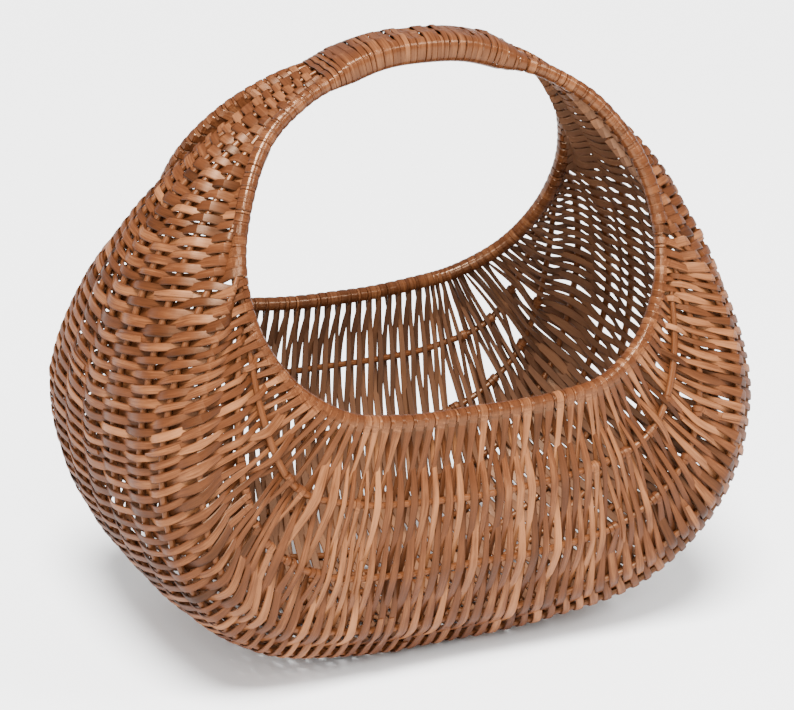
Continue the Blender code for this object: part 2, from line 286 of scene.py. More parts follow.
CREASE_RIB_SHARES = (
    (0.000, 0.089, 1.000),
    (0.132, 0.101, 0.996),
    (0.262, 0.123, 0.976),
    (0.405, 0.182, 0.947),
    (0.539, 0.274, 0.896),
    (0.635, 0.428, 0.817),
    (0.693, 0.606, 0.723),
    (0.818, 0.802, 0.602),
    (0.877, 0.944, 0.443),
    (0.814, 0.983, 0.273),
    (0.604, 0.890, 0.147),
    (0.303, 0.829, 0.098),
    (0.000, 0.811, 0.092),
)
FIFTH_RIB_SHARES = (0.076, 0.074, 0.072, 0.103, 0.153, 0.249, 0.370, 0.502, 0.608, 0.608, 0.549, 0.478, 0.411)
SIXTH_RIB_SHARES = (0.037, 0.037, 0.037, 0.052, 0.077, 0.136, 0.199, 0.258, 0.297, 0.305, 0.280, 0.241, 0.210)
FIRST_RIB_SHARES = (0.0, 0.0, 0.0, 0.0, 0.0, 0.0, 0.0, 0.17, 0.33, 0.43, 0.385, 0.36, 0.36)
SECOND_RIB_SHARES = (0.0, 0.0, 0.0, 0.0, 0.0, 0.0, 0.05, 0.37, 0.59, 0.72, 0.73, 0.705, 0.69)
BELLY_SHARES = (0.0, 0.0, 0.0, 0.0, 0.0, 0.0, 0.0, 0.0, 0.0, 0.0, 0.050, 0.089, 0.114)
SECTION_POWER = 3.0
SETTLE_SHARE = 0.002

# The rods, and the angle at which each one's end is tucked in at the shoulder
FIRST_RIB, SECOND_RIB, CREASE_RIB, EDGE_RIB, FIFTH_RIB, SIXTH_RIB, KEEL = range(1, 8)
BACK_HOOP = 2 * KEEL
ROD_STARTS = (0.0, 106.0, 100.5, 90.5, 52.0, 28.0, 0.0, 0.0)

# Sizes of the solids that the loops follow
BINDING_HEIGHT = 0.015
FLOOR_LEVEL = RIB_RADIUS * math.cos(math.pi / SOLID_ROD_SIDES)
_, keel_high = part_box("keel_rib")
_, binding_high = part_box("handle_binding")
HALF_LENGTH = keel_high.x - FLOOR_LEVEL
HALF_WIDTH = cad_box[1].y - RIB_RADIUS
RISE = (binding_high.z - BINDING_HEIGHT / 2 - FLOOR_LEVEL) / (1.0 - SETTLE_SHARE)

random = np.random.default_rng(SEED)


# Loops

def read_column(column, angle, odd=False):
    """Read a smooth curve through a column of shares at angles from 0 to 180."""
    column = np.asarray(column)
    last = len(column) - 1
    index = np.clip(np.floor(angle / STATION_STEP).astype(int), 0, last - 1)
    t = angle / STATION_STEP - index

    def entry(step):
        place = index + step
        value = column[last - np.abs(last - np.abs(place))]
        return np.where((place < 0) | (place > last), -value, value) if odd else value

    here, there = entry(0), entry(1)
    slope_here = (there - entry(-1)) / 2
    slope_there = (entry(2) - here) / 2
    bend = 3 * (there - here) - 2 * slope_here - slope_there
    twist = slope_here + slope_there - 2 * (there - here)
    return here + t * (slope_here + t * (bend + t * twist))


def read_table(table, angle):
    """Read a loop's table at angles from 0 to 180, as points on the front right quarter."""
    along, out, up = zip(*table)
    return np.stack([
        HALF_LENGTH * read_column(along, angle, odd=True),
        -HALF_WIDTH * read_column(out, angle),
        RISE * read_column(up, angle),
    ], axis=-1)


def wall_rib(way_shares, angle):
    """A rib that lies between the hoop and the crease rib, on a wall with a belly."""
    way = read_column(way_shares, angle)[..., None]
    points = read_table(HOOP_SHARES, angle) * (1 - way) + read_table(CREASE_RIB_SHARES, angle) * way
    points[..., 1] -= HALF_WIDTH * read_column(BELLY_SHARES, angle)
    return points


def base_rib(out_shares, angle):
    """A rib that lies between the keel and the edge rib, on a rounded section."""
    edge = read_table(EDGE_RIB_SHARES, angle)
    out = -HALF_WIDTH * read_column(out_shares, angle)
    way = ((out / edge[..., 1]) ** SECTION_POWER)[..., None]
    points = read_table(KEEL_SHARES, angle) * (1 - way) + edge * way
    points[..., 1] = out
    return points


def rod_number(rod):
    """A rod's number counted from the hoop on its own side, for one rod or several."""
    rod = np.asarray(rod)
    return np.minimum(rod, BACK_HOOP - rod)


def half_turn(turn):
    """An angle of the full loop as one from 0 to 180."""
    return np.minimum(turn, 360.0 - turn)


def loop_points(rod, turn):
    """The centre of a rod, counted from the front hoop to the back one, at angles of its full loop."""
    number = int(rod_number(rod))
    turn = np.asarray(turn, float) % 360.0
    angle = half_turn(turn)
    if number == FIRST_RIB:
        points = wall_rib(FIRST_RIB_SHARES, angle)
    elif number == SECOND_RIB:
        points = wall_rib(SECOND_RIB_SHARES, angle)
    elif number == FIFTH_RIB:
        points = base_rib(FIFTH_RIB_SHARES, angle)
    elif number == SIXTH_RIB:
        points = base_rib(SIXTH_RIB_SHARES, angle)
    else:
        tables = {0: HOOP_SHARES, CREASE_RIB: CREASE_RIB_SHARES, EDGE_RIB: EDGE_RIB_SHARES, KEEL: KEEL_SHARES}
        points = read_table(tables[number], angle)
    points[..., 0] *= np.where(turn > 180.0, -1.0, 1.0)
    if rod > KEEL:
        points[..., 1] *= -1.0
    points[..., 2] = FLOOR_LEVEL + np.maximum(points[..., 2] - SETTLE_SHARE * RISE, 0.0)
    return points


def smooth_step(value, low, high):
    """A smooth way from 0 at the low value to 1 at the high one."""
    t = np.clip((value - low) / (high - low), 0.0, 1.0)
    return t * t * (3 - 2 * t)


def unit(vectors):
    """Vectors at unit length."""
    return vectors / np.maximum(np.linalg.norm(vectors, axis=-1, keepdims=True), 1e-9)


def loop_directions(rod, turn):
    """The direction along a rod's loop."""
    step = ROD_STEP / 2
    return unit(loop_points(rod, np.asarray(turn) + step) - loop_points(rod, np.asarray(turn) - step))


def path_lengths(points):
    """The distance along a path at each of its points."""
    steps = np.linalg.norm(np.diff(points, axis=0), axis=1)
    return np.concatenate([[0.0], np.cumsum(steps)])


def rod_radius(rod, half_angle):
    """A rod's radius, thin where a rib's end is tucked in or runs up into the handle."""
    number = int(rod_number(rod))
    half_angle = np.asarray(half_angle, float)
    if number == 0:
        return np.full_like(half_angle, HOOP_RADIUS)
    full = WALL_RIB_RADIUS if number <= SECOND_RIB else RIB_RADIUS
    start = ROD_STARTS[number] if number <= EDGE_RIB else INNER_TAPER_START
    part = np.clip((half_angle - start) / TAPER_ANGLE, 0.0, 1.0)
    return TIP_RADIUS + (full - TIP_RADIUS) * part


# Meshes

class Mesh:
    """Vertices, faces and grain values that are gathered for one piece."""

    def __init__(self):
        self.points = []
        self.grain = []
        self.faces = []
        self.looks = []
        self.count = 0

    def add_tube(self, rings, along, across, tone, closed=False, wraps=0):
        """Add rings of points, shaped (sections, sides, 3), joined by faces. The wraps are first and last."""
        sections, sides = rings.shape[:2]
        grain = np.empty((sections, sides, 3))
        grain[..., 0] = np.asarray(along)[:, None]
        grain[..., 1] = across
        grain[..., 2] = np.reshape(tone, (-1, 1))
        number = np.arange(sections * sides).reshape(sections, sides) + self.count
        after = np.roll(number, -1, axis=1)
        if closed:
            upper, upper_after = np.roll(number, -1, axis=0), np.roll(after, -1, axis=0)
            quads = np.stack([number, after, upper_after, upper], axis=-1)
        else:
            quads = np.stack([number[:-1], after[:-1], after[1:], number[1:]], axis=-1)
        self.points.append(rings.reshape(-1, 3))
        self.grain.append(grain.reshape(-1, 3))
        self.faces.extend(quads.reshape(-1, 4).tolist())
        place = np.arange(len(quads))
        look = (place < wraps) | (place >= len(quads) - wraps)
        self.looks.extend(np.repeat(look, sides).tolist())
        if not closed:
            self.faces.append(number[0][::-1].tolist())
            self.faces.append(number[-1].tolist())
            self.looks.extend([wraps > 0] * 2)
        self.count += sections * sides

    def make(self, name, *materials):
        """Turn what was gathered into an object that rides on the root."""
        data = bpy.data.meshes.new(name)
        data.from_pydata(np.concatenate(self.points).tolist(), [], self.faces)
        attribute = data.attributes.new("grain", "FLOAT_VECTOR", "POINT")
        attribute.data.foreach_set("vector", np.concatenate(self.grain).astype(np.float32).ravel())
        for material in materials:
            data.materials.append(material)
        data.polygons.foreach_set("material_index", np.array(self.looks, dtype=np.int32))
        data.shade_smooth()
        data.set_sharp_from_angle(angle=SHARP_ANGLE)
        piece = bpy.data.objects.new(name, data)
        bpy.context.scene.collection.objects.link(piece)
        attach(piece, "root")
        return piece


def flat_rings(points, side, normal, widths, thickness):
    """Rings of a flat strip's section, crowned on its outer side, at points with their two directions."""
    return (
        points[:, None, :]
        + side[:, None, :] * (widths[:, None, None] * STRIP_ACROSS[None, :, None])
        + normal[:, None, :] * (thickness * STRIP_HEIGHT)[None, :, None]
    )


def strip_rings(points, widthways, widths, thickness):
    """The rings of a flat strip along a path."""
    tangents = unit(np.gradient(points, axis=0))
    side = unit(widthways - tangents * np.sum(widthways * tangents, axis=1, keepdims=True))
    return flat_rings(points, side, np.cross(tangents, side), widths, thickness)


# Materials

# Noise in the grain: its scales along, across and from tone to tone, its detail, its roughness and
# how much it changes the tone
STREAKS = ((45.0, 7.0, 43.0), 5.0, 0.70, 0.75)
FIBRES = ((60.0, 26.0, 17.0), 2.0, 0.60, 0.45)
PATCHES = ((30.0, 0.8, 91.0), 3.0, 0.55, 0.75)
# How closely the darkening keeps to a strip's edges. It is partly the cut edges' own colour and partly
# painted shade between strips
EDGE_POWER = 6.0

PITH = (0.125, 0.064, 0.037)
PITH_SHARE = 0.6
SHEEN_TINT = (1.0, 0.66, 0.42)
ROUGHNESS_CHANGE = 0.30
BUMP_STRENGTH = 0.35
BUMP_DEPTH = 0.0003


def willow(name, dark, middle, pale, roughness, gloss, edge_colour_and_shade):
    """Split willow: long streaks of grain, slow changes along a strip, a tone of its own, and darker edges
    that are partly the cut edges' own colour and partly painted shade.
    """
    material = bpy.data.materials.new(name)
    material.use_nodes = True
    nodes, links = material.node_tree.nodes, material.node_tree.links
    shader = nodes["Principled BSDF"]
    grain = nodes.new("ShaderNodeAttribute")
    grain.attribute_name = "grain"

    def stretched(scale, detail, fineness):
        mapping = nodes.new("ShaderNodeMapping")
        mapping.inputs["Scale"].default_value = scale
        noise = nodes.new("ShaderNodeTexNoise")
        noise.inputs["Scale"].default_value = 1.0
        noise.inputs["Detail"].default_value = detail
        noise.inputs["Roughness"].default_value = fineness
        links.new(grain.outputs["Vector"], mapping.inputs["Vector"])
        links.new(mapping.outputs["Vector"], noise.inputs["Vector"])
        return noise.outputs["Fac"]

    def work_out(operation, *values, clamp=False):
        node = nodes.new("ShaderNodeMath")
        node.operation = operation
        node.use_clamp = clamp
        for socket, value in zip(node.inputs, values):
            if isinstance(value, float):
                socket.default_value = value
            else:
                links.new(value, socket)
        return node.outputs[0]

    parts = nodes.new("ShaderNodeSeparateXYZ")
    links.new(grain.outputs["Vector"], parts.inputs["Vector"])
    tone = parts.outputs["Z"]
    noises = []
    for scale, detail, fineness, amount in (STREAKS, FIBRES, PATCHES):
        noises.append(stretched(scale, detail, fineness))
        tone = work_out("ADD", tone, work_out("MULTIPLY", work_out("SUBTRACT", noises[-1], 0.5), amount))
    streaks = noises[0]

    inner = work_out("GREATER_THAN", parts.outputs["Y"], UNDER_LIMIT)
    across = work_out("SUBTRACT", parts.outputs["Y"], work_out("MULTIPLY", inner, UNDER_MARK))
    out = work_out("MULTIPLY", work_out("ABSOLUTE", across), 2.0)
    # Darker towards the edges: partly the cut edges' own colour, partly painted shade where strips meet
    edge = work_out("POWER", out, EDGE_POWER, clamp=True)
    tone = work_out("SUBTRACT", tone, work_out("MULTIPLY", edge, edge_colour_and_shade))

    ramp = nodes.new("ShaderNodeValToRGB")
    ramp.color_ramp.elements[0].position = 0.0
    ramp.color_ramp.elements[0].color = (*dark, 1.0)
    ramp.color_ramp.elements[1].position = 1.0
    ramp.color_ramp.elements[1].color = (*pale, 1.0)
    ramp.color_ramp.elements.new(0.5).color = (*middle, 1.0)
    links.new(tone, ramp.inputs["Fac"])
    dull = nodes.new("ShaderNodeMix")
    dull.data_type = "RGBA"
    links.new(work_out("MULTIPLY", inner, PITH_SHARE), dull.inputs["Factor"])
    links.new(ramp.outputs["Color"], dull.inputs["A"])
    dull.inputs["B"].default_value = (*PITH, 1.0)
    links.new(dull.outputs["Result"], shader.inputs["Base Color"])

    rough = work_out("MULTIPLY_ADD", streaks, ROUGHNESS_CHANGE, roughness - ROUGHNESS_CHANGE / 2)
    links.new(rough, shader.inputs["Roughness"])
    bump = nodes.new("ShaderNodeBump")
    bump.inputs["Strength"].default_value = BUMP_STRENGTH
    bump.inputs["Distance"].default_value = BUMP_DEPTH
    links.new(streaks, bump.inputs["Height"])
    links.new(bump.outputs["Normal"], shader.inputs["Normal"])
    shader.inputs["Specular Tint"].default_value = (*SHEEN_TINT, 1.0)
    grazing = nodes.new("ShaderNodeLayerWeight").outputs["Facing"]
    facing = work_out("POWER", work_out("SUBTRACT", 1.0, grazing), 2.0)
    links.new(work_out("MULTIPLY", facing, gloss), shader.inputs["Specular IOR Level"])
    return material


# The last value darkens each strip's edges, partly in the cut edges' own colour and partly as painted shade
ROD_WILLOW = willow(
    "rod_willow", (0.028, 0.008, 0.0025), (0.080, 0.025, 0.008), (0.15, 0.056, 0.021),
    roughness=0.32, gloss=0.36, edge_colour_and_shade=0.0,
)
STRIP_WILLOW = willow(
    "strip_willow", (0.020, 0.006, 0.002), (0.069, 0.0217, 0.0077), (0.235, 0.095, 0.037),
    roughness=0.34, gloss=0.26, edge_colour_and_shade=0.30,
)
SKEIN_WILLOW = willow(
    "skein_willow", (0.019, 0.0055, 0.0018), (0.065, 0.0200, 0.0069), (0.20, 0.080, 0.031),
    roughness=0.20, gloss=0.50, edge_colour_and_shade=0.22,
)


# Rods

def make_rod(name, rod):
    """A hoop or rib as a smooth bent rod that takes the place of its solid."""
    number = int(rod_number(rod))
    start = ROD_STARTS[number]
    closed = number in (0, SIXTH_RIB, KEEL)
    turns = np.arange(0.0, 360.0, ROD_STEP) if closed else np.arange(start, 360.0 - start + 0.01, ROD_STEP)
    half = half_turn(turns)
    points = loop_points(rod, turns)
    along = loop_directions(rod, turns)
    middle = np.zeros_like(points)
    middle[:, 1] = points[:, 1]
    middle[:, 2] = FLOOR_LEVEL + RISE / 2
    out = unit(points - middle)
    out = unit(out - along * np.sum(out * along, axis=1, keepdims=True))
    side = np.cross(along, out)
    if number == SIXTH_RIB:
        shown = smooth_step(half, PASSED_RIB_ANGLE - PASSED_RIB_BLEND, PASSED_RIB_ANGLE + PASSED_RIB_BLEND)
        points = points - out * (RIB_SINK * (1 - shown))[:, None]
    radius = rod_radius(rod, half) - CLEARANCE
    around = 2 * np.pi * np.arange(ROD_SIDES) / ROD_SIDES
    rings = points[:, None, :] + radius[:, None, None] * (
        out[:, None, :] * np.cos(around)[None, :, None] + side[:, None, :] * np.sin(around)[None, :, None]
    )
    mesh = Mesh()
    tone = ROD_TONE + ROD_TONE_CHANGE * math.sin(rod)
    mesh.add_tube(rings, path_lengths(points), around / 4, tone, closed=closed)
    piece = mesh.make(name.replace("_rib", "_bent_rib").replace("rim_hoop", "bent_hoop"), ROD_WILLOW)
    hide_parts(name)


def make_rods():
    """Both hoops, the keel and every rib."""
    for side, hoop, step in (("front", 0, 1), ("back", BACK_HOOP, -1)):
        make_rod(side + "_rim_hoop", hoop)
        for number in range(FIRST_RIB, KEEL):
            make_rod(f"{side}_rib_{number}", hoop + step * number)
    make_rod("keel_rib", KEEL)


# Where the rows of weave cross the rods

def row_turns():
    """The angles of all rows on the crease rib, from the right of the handle round to its left."""
    angles = np.arange(FIRST_ROW_ANGLE, 180.0 + 0.05, 0.1)
    pitch = np.interp(angles, PITCH_ANGLES, ROW_PITCHES)
    lengths = path_lengths(loop_points(FIFTH_RIB, angles))
    rows = np.concatenate([[0.0], np.cumsum(np.diff(lengths) / ((pitch[1:] + pitch[:-1]) / 2))])
    total = round(rows[-1])
    right = np.interp((np.arange(total) + 0.5) / total * rows[-1], rows, angles)
    return np.concatenate([right, 360.0 - right[::-1]])


ROW_TURNS = row_turns()
ROWS = len(ROW_TURNS)
RODS = range(BACK_HOOP + 1)


def partner(row, back):
    """The row that a row turns back into at the front or the back."""
    return row + 1 if (row % 2 == 0) != back else row - 1


def turn_rod(row, back):
    """The rod, counted from the front or back hoop, round which a row turns back."""
    other = partner(row, back)
    if not 0 <= other < ROWS:
        return 0
    half = half_turn((ROW_TURNS[row] + ROW_TURNS[other]) / 2)
    for low, high, rods in TURNS[int(row >= ROWS // 2)]:
        if low < half < high:
            return rods[min(row, other) // 2 % len(rods)]
    return 0


TURN_RODS = np.array([[turn_rod(row, back) for back in (False, True)] for row in range(ROWS)])


def rod_crossings(rod):
    """The angles at which the rows cross a rod. The ones that get past the crease fan out evenly."""
    number = int(rod_number(rod))
    half = half_turn(ROW_TURNS)
    if number > SECOND_RIB:
        hang = smooth_step(half, *HANG_ANGLES[:2]) * (1 - smooth_step(half, *HANG_ANGLES[2:]))
        half = half + HANG_STEP * (number - CREASE_RIB) * hang
    else:
        angles = np.arange(0.0, 180.5, 0.5)
        lengths = path_lengths(loop_points(number, angles))
        reaching = TURN_RODS[:, int(rod > KEEL)] <= number
        for left in (0, 1):
            rows = np.flatnonzero(reaching & ((ROW_TURNS > 180.0) == left))
            rows = rows[np.argsort(half[rows])]
            ranks = np.searchsorted(half[rows], FAN_ANGLES[left])
            knots = np.interp(FAN_ROD_ANGLES[left][number], angles, lengths)
            places = np.interp(np.arange(len(rows)) + 0.5, ranks, knots)
            fanned = half[rows] >= FAN_ANGLES[left][0]
            half[rows[fanned]] = np.interp(places[fanned], lengths, angles)
    return np.where(ROW_TURNS > 180.0, 360.0 - half, half)


CROSSINGS = np.stack([rod_crossings(rod) for rod in RODS], axis=1)
HALF_ANGLES = half_turn(CROSSINGS)


def crossed_rods(row):
    """The rods that a row crosses, with the ones it turns back round at its ends."""
    front, back = TURN_RODS[row, 0], BACK_HOOP - TURN_RODS[row, 1]
    rods = []
    for rod in range(front, back + 1):
        number = int(rod_number(rod))
        start = PASSED_RIB_ANGLE if number == SIXTH_RIB else ROD_STARTS[number] + CROSSING_MARGIN
        if rod in (front, back) or HALF_ANGLES[row, rod] > start:
            rods.append(rod)
    return rods


ROW_RODS = [crossed_rods(row) for row in range(ROWS)]


def rod_pitches():
    """The distance from row to row where each row crosses each rod."""
    pitches = np.zeros((ROWS, BACK_HOOP + 1))
    for rod in RODS:
        rows = [row for row in range(ROWS) if rod in ROW_RODS[row]]
        lengths = path_lengths(loop_points(rod, CROSSINGS[rows, rod]))
        pitches[rows, rod] = np.gradient(lengths)
    return pitches


PITCHES = rod_pitches()


def plain_sign(row, place):
    """On which side a row passes the rod at a place in its list, plus one for outside, in plain weave."""
    return (-1.0) ** (row + place - ROW_RODS[row].index(KEEL))


def end_sign(row, back):
    """On which side a row passes its last rod, always the other side than the row it turns back into."""
    other = partner(row, back)
    lower = min(row, other) if 0 <= other < ROWS else row
    sign = -plain_sign(lower, len(ROW_RODS[lower]) - 2 if back else 1)
    return sign if row == lower else -sign


def crossing_signs(row):
    """On which side a row passes each of its rods. Most rows pass inside the first ribs near the ends."""
    rods = ROW_RODS[row]
    signs = np.array([plain_sign(row, place) for place in range(len(rods))])
    signs[0], signs[-1] = end_sign(row, False), end_sign(row, True)
    for place in range(1, len(rods) - 1):
        bare = rod_number(rods[place]) == FIRST_RIB and HALF_ANGLES[row, rods[place]] < BARE_RIB_ANGLE
        if bare and row % BARE_RIB_ROWS:
            signs[place] = -1.0
    return signs


# Rows of weave

def rim_place(row, back, outside):
    """Where a row's wrap lies on its last rod, and how wide it is."""
    rod = ROW_RODS[row][-1 if back else 0]
    other = partner(row, back)
    own = CROSSINGS[row, rod]
    pitch = 2 * PITCHES[row, rod]
    if not 0 <= other < ROWS:
        return own, min(pitch, WRAP_WIDTH)
    middle = (own + CROSSINGS[other, rod]) / 2
    degree = np.linalg.norm(loop_points(rod, middle + 0.5) - loop_points(rod, middle - 0.5))
    swing = SWING_SHARE * smooth_step(half_turn(middle), *SWING_ANGLES)
    full_width = WRAP_WIDTH if rod in (0, BACK_HOOP) else RIB_WRAP_WIDTH
    outer_width = min(WRAP_FULLNESS * pitch, full_width * (1.0 + WRAP_SPREAD * random.standard_normal()))
    place = middle - swing * pitch / degree
    if outside:
        return place, outer_width
    inner_width = np.clip(pitch - outer_width + WRAP_LAP, LEAST_WRAP_WIDTH, full_width)
    return place + pitch / 2 / degree, float(inner_width)


def strip_widths(row, signs, wall):
    """How wide a row's strip is where it passes each of its rods."""
    rods = ROW_RODS[row]
    half = HALF_ANGLES[row, rods]
    low = smooth_step(half, *LOW_ANGLES)
    arm = 1 - smooth_step(half, *ARM_ANGLES)
    body = smooth_step(half, *BODY_ANGLES)
    outside = np.where(wall, WALL_OUTSIDE, END_OUTSIDE - LOW_OUTSIDE_LOSS * low + ARM_GAIN * arm)
    inside = np.where(wall, WALL_INSIDE, END_INSIDE - BODY_LOSS * body - LOW_INSIDE_LOSS * low)
    shoulder = (rod_number(rods) == EDGE_RIB) * (1 - smooth_step(half, *SHOULDER_ANGLES))
    fan = (rod_number(rods) == CREASE_RIB) * smooth_step(half, *FAN_START_ANGLES)
    outside = outside + SHOULDER_GAIN * shoulder + FAN_OUTSIDE_GAIN * fan
    inside = inside + SHOULDER_GAIN * shoulder + FAN_INSIDE_GAIN * fan
    fullness = 1.0 + WIDTH_SPREAD * random.standard_normal()
    widths = PITCHES[row, rods] * fullness * np.where(signs > 0, outside, inside)
    return np.clip(widths, LEAST_WIDTH, MOST_WIDTH)


def path_slopes(points, chords):
    """The slope of a smooth path at each of its points, for one unit of length."""
    slopes = np.empty_like(points)
    slopes[1:-1] = (points[2:] - points[:-2]) / (chords[1:] + chords[:-1])[:, None]
    slopes[0] = (points[1] - points[0]) / chords[0]
    slopes[-1] = (points[-1] - points[-2]) / chords[-1]
    return slopes


def smooth_course(start, end, start_slope, end_slope, t):
    """A smooth curve from start to end, with the slopes given there."""
    return (
        (2 * t**3 - 3 * t**2 + 1) * start + (t**3 - 2 * t**2 + t) * start_slope
        + (-2 * t**3 + 3 * t**2) * end + (t**3 - t**2) * end_slope
    )


def pinch_depth(row, k, signs, on_wall):
    """How much a strip narrows on its way from its rod k to the next."""
    rods = ROW_RODS[row]
    if rods[k] != 0 and rods[k + 1] != BACK_HOOP:
        return WALL_PINCH if on_wall else END_PINCH
    end = 0 if rods[k] == 0 else -1
    depth = OUTER_RIM_PINCH if signs[end] > 0 else INNER_RIM_PINCH
    return depth * smooth_step(HALF_ANGLES[row, rods[end]], *RIM_PINCH_ANGLES)


def strip_tones(count):
    """A strip's tone at each of its sections. Most are middling, and the wraps are nearer the middle."""
    tone = MIDDLE_TONE + TONE_SPREAD * random.standard_normal()
    if random.random() < PALE_SHARE:
        tone += PALE_TONE
    if random.random() < DARK_SHARE:
        tone -= DARK_TONE
    tones = np.full(count, float(np.clip(tone, LEAST_TONE, MOST_TONE)))
    for wrap in (slice(0, WRAP_SECTIONS + 1), slice(-WRAP_SECTIONS - 1, None)):
        tones[wrap] = WRAP_TONE + WRAP_TONE_SHARE * (tones[wrap] - MIDDLE_TONE)
    return tones


def weave_row(mesh, row):
    """Add one row: a strip that passes over and under the rods and round the last ones."""
    rods = ROW_RODS[row]
    turns = CROSSINGS[row, rods].copy()
    signs = crossing_signs(row)
    wraps = []
    for end, back in ((0, False), (-1, True)):
        turns[end], width = rim_place(row, back, signs[end] > 0)
        wraps.append(width)
    wall = rod_number(rods) <= CREASE_RIB
    centres = np.stack([loop_points(rod, turn) for rod, turn in zip(rods, turns)])
    ways = np.stack([loop_directions(rod, turn) for rod, turn in zip(rods, turns)])
    drift = random.standard_normal(len(rods)) * np.where(wall, WALL_DRIFT, END_DRIFT)
    drift[0] = drift[-1] = 0.0
    centres = centres + ways * drift[:, None]
    chords = np.linalg.norm(np.diff(centres, axis=0), axis=1)
    slopes = path_slopes(centres, chords)
    normals = unit(np.cross(ways, slopes))
    radii = np.array([float(rod_radius(rod, half_turn(turn))) for rod, turn in zip(rods, turns)])
    offsets = signs * (radii + STRIP_THICKNESS / 2)
    widths = strip_widths(row, signs, wall)
    widths[0], widths[-1] = wraps

    parts, sides, wide = [], [], []
    for k in range(len(rods) - 1):
        on_wall = wall[k] and wall[k + 1]
        sections = int(np.clip(round(chords[k] / SECTION_LENGTH), LEAST_SECTIONS, MOST_SECTIONS))
        t = (np.arange(sections) / sections)[:, None]
        base = smooth_course(centres[k], centres[k + 1], chords[k] * slopes[k], chords[k] * slopes[k + 1], t)
        if on_wall:
            straight = centres[k] * (1 - t) + centres[k + 1] * t
            base = (1 - STRAIGHT_SHARE) * base + STRAIGHT_SHARE * straight
        normal = unit(normals[k] * (1 - t) + normals[k + 1] * t)
        bend = WALL_BEND_SHARE if on_wall else END_BEND_SHARE
        way = bend * (1 - np.cos(np.pi * t)) / 2 + (1 - bend) * t
        parts.append(base + normal * (offsets[k] * (1 - way) + offsets[k + 1] * way))
        sides.append(ways[k] * (1 - t) + ways[k + 1] * t)
        share = t[:, 0]
        if k == 0:
            share = smooth_step(share, *WRAP_SHARES)
        if k == len(rods) - 2:
            share = smooth_step(share, 1 - WRAP_SHARES[1], 1 - WRAP_SHARES[0])
        pinch = 1.0 - pinch_depth(row, k, signs, on_wall) * np.sin(np.pi * t[:, 0]) ** 2
        wide.append((widths[k] * (1 - share) + widths[k + 1] * share) * pinch)
    parts.append((centres[-1] + normals[-1] * offsets[-1])[None, :])
    sides.append(ways[-1][None, :])
    wide.append(widths[-1:])

    first = wrap_points(centres[0], centres[1], ways[0], normals[0], offsets[0])
    last = wrap_points(centres[-1], centres[-2], ways[-1], normals[-1], offsets[-1])
    points = np.concatenate([first[::-1], *parts, last])
    start_sides, end_sides = (np.tile(way, (WRAP_SECTIONS, 1)) for way in (ways[0], ways[-1]))
    sides = np.concatenate([start_sides, *sides, end_sides])
    wide = np.concatenate([np.full(WRAP_SECTIONS, wraps[0]), *wide, np.full(WRAP_SECTIONS, wraps[1])])
    tones = strip_tones(len(points))
    across = np.tile(STRIP_ACROSS, (len(points), 1))
    across[WRAP_SECTIONS + 1:-WRAP_SECTIONS - 1] += UNDER_MARK * (STRIP_HEIGHT < 0.0)
    glossy = WRAP_SECTIONS + 1 if rods[0] == 0 and rods[-1] == BACK_HOOP else 0
    rings = strip_rings(points, -sides, wide, STRIP_THICKNESS)
    mesh.add_tube(rings, path_lengths(points), across, tones, wraps=glossy)
    if random.random() < SPLICE_SHARE and len(rods) >= SPLICE_LEAST_RODS:
        middles = np.cumsum([len(part) for part in parts])[:-1] + WRAP_SECTIONS
        places = [middles[k - 1] for k in range(1, len(rods) - 1) if signs[k] > 0]
        add_splice(mesh, points, -sides, wide, int(random.choice(places)), tones[0])


def add_splice(mesh, points, sides, widths, place, tone):
    """Add the loose end of a new strip, laid on an old one where it passes outside a rod."""
    picked = slice(place - SPLICE_REACH, place + SPLICE_REACH + 1)
    tangents = unit(np.gradient(points[picked], axis=0))
    side = unit(sides[picked])
    out = unit(np.cross(tangents, side))
    t = np.linspace(0.0, 1.0, 2 * SPLICE_REACH + 1)
    shift = random.choice((-1.0, 1.0)) * SPLICE_SHIFT * widths[picked]
    lift = SPLICE_SEAT * STRIP_THICKNESS + SPLICE_LIFT * random.uniform(SPLICE_LEAST_LIFT, 1.0) * t**4
    path = points[picked] + out * lift[:, None] + side * shift[:, None]
    taper = SPLICE_WIDTH - SPLICE_TAPER * t**3
    rings = strip_rings(path, side, widths[picked] * taper, SPLICE_THICKNESS * STRIP_THICKNESS)
    mesh.add_tube(rings, path_lengths(path), STRIP_ACROSS, min(tone + SPLICE_TONE, MOST_TONE))


def wrap_points(centre, inner, way, normal, offset):
    """The way of a strip over the far side of its last rod and back underneath."""
    rimward = centre - inner
    rimward = unit(rimward - way * np.dot(rimward, way))
    normal = unit(normal - way * np.dot(normal, way))
    normal = unit(normal - rimward * np.dot(normal, rimward))
    phase = np.radians(WRAP_TURN) * (np.arange(WRAP_SECTIONS) + 1)[:, None] / WRAP_SECTIONS
    reach = abs(offset) + (WRAP_LAP / 2 if offset > 0 else 0.0)
    return centre + normal * (np.sign(offset) * reach * np.cos(phase)) + rimward * (reach * np.sin(phase))


def make_weave():
    """All rows, in six pieces: the shoulders, the ends and the two halves of the base and walls."""
    groups = (
        ("right_shoulder_weave", FIRST_ROW_ANGLE - 1, 84.0, ()),
        ("right_end_weave", 84.0, 132.0, [f"back_weave_{k}" for k in range(1, 8)]),
        ("right_wall_weave", 132.0, 180.0, ["front_rim_wrap"]),
        ("left_wall_weave", 180.0, 228.0, ["back_rim_wrap"]),
        ("left_end_weave", 228.0, 276.0, [f"front_weave_{k}" for k in range(1, 8)]),
        ("left_shoulder_weave", 276.0, 361.0 - FIRST_ROW_ANGLE, ()),
    )
    for name, low, high, nodes in groups:
        mesh = Mesh()
        for row in range(ROWS):
            if low <= ROW_TURNS[row] < high:
                weave_row(mesh, row)
        piece = mesh.make(name, STRIP_WILLOW, SKEIN_WILLOW)
        if nodes:
            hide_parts(*nodes)


# The handle

def squared(values):
    """A round's sines or cosines, drawn out towards the corners of a square."""
    return np.sign(values) * np.abs(values) ** HANDLE_ROUNDNESS


